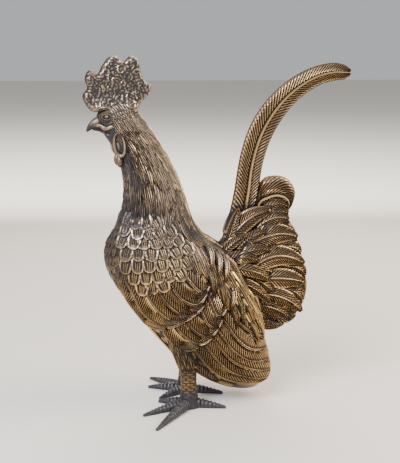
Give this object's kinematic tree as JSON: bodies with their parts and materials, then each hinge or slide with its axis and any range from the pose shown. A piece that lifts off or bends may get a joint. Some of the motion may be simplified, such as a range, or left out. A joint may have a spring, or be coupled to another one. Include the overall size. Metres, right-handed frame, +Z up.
{
  "type": "bronze rooster sculpture",
  "caption": "Standing rooster figure cast in one piece, with layered feathers, an upright curved tail feather, a fanned tail and a tall comb.",
  "frame": {"origin": "on the ground, under the middle of the figure's box", "axes": "+Z up, -X towards the beak, +X towards the tail, -Y is the bird's left side"},
  "size_m": [0.2406, 0.135, 0.3103],
  "materials": {
    "aged_bronze": "cast bronze with a dark brown-grey patina in the hollows, rubbed to gold-brown on the raised feathers"
  },
  "bodies": {
    "root": {"rooster": "aged_bronze"}
  },
  "joints": []
}
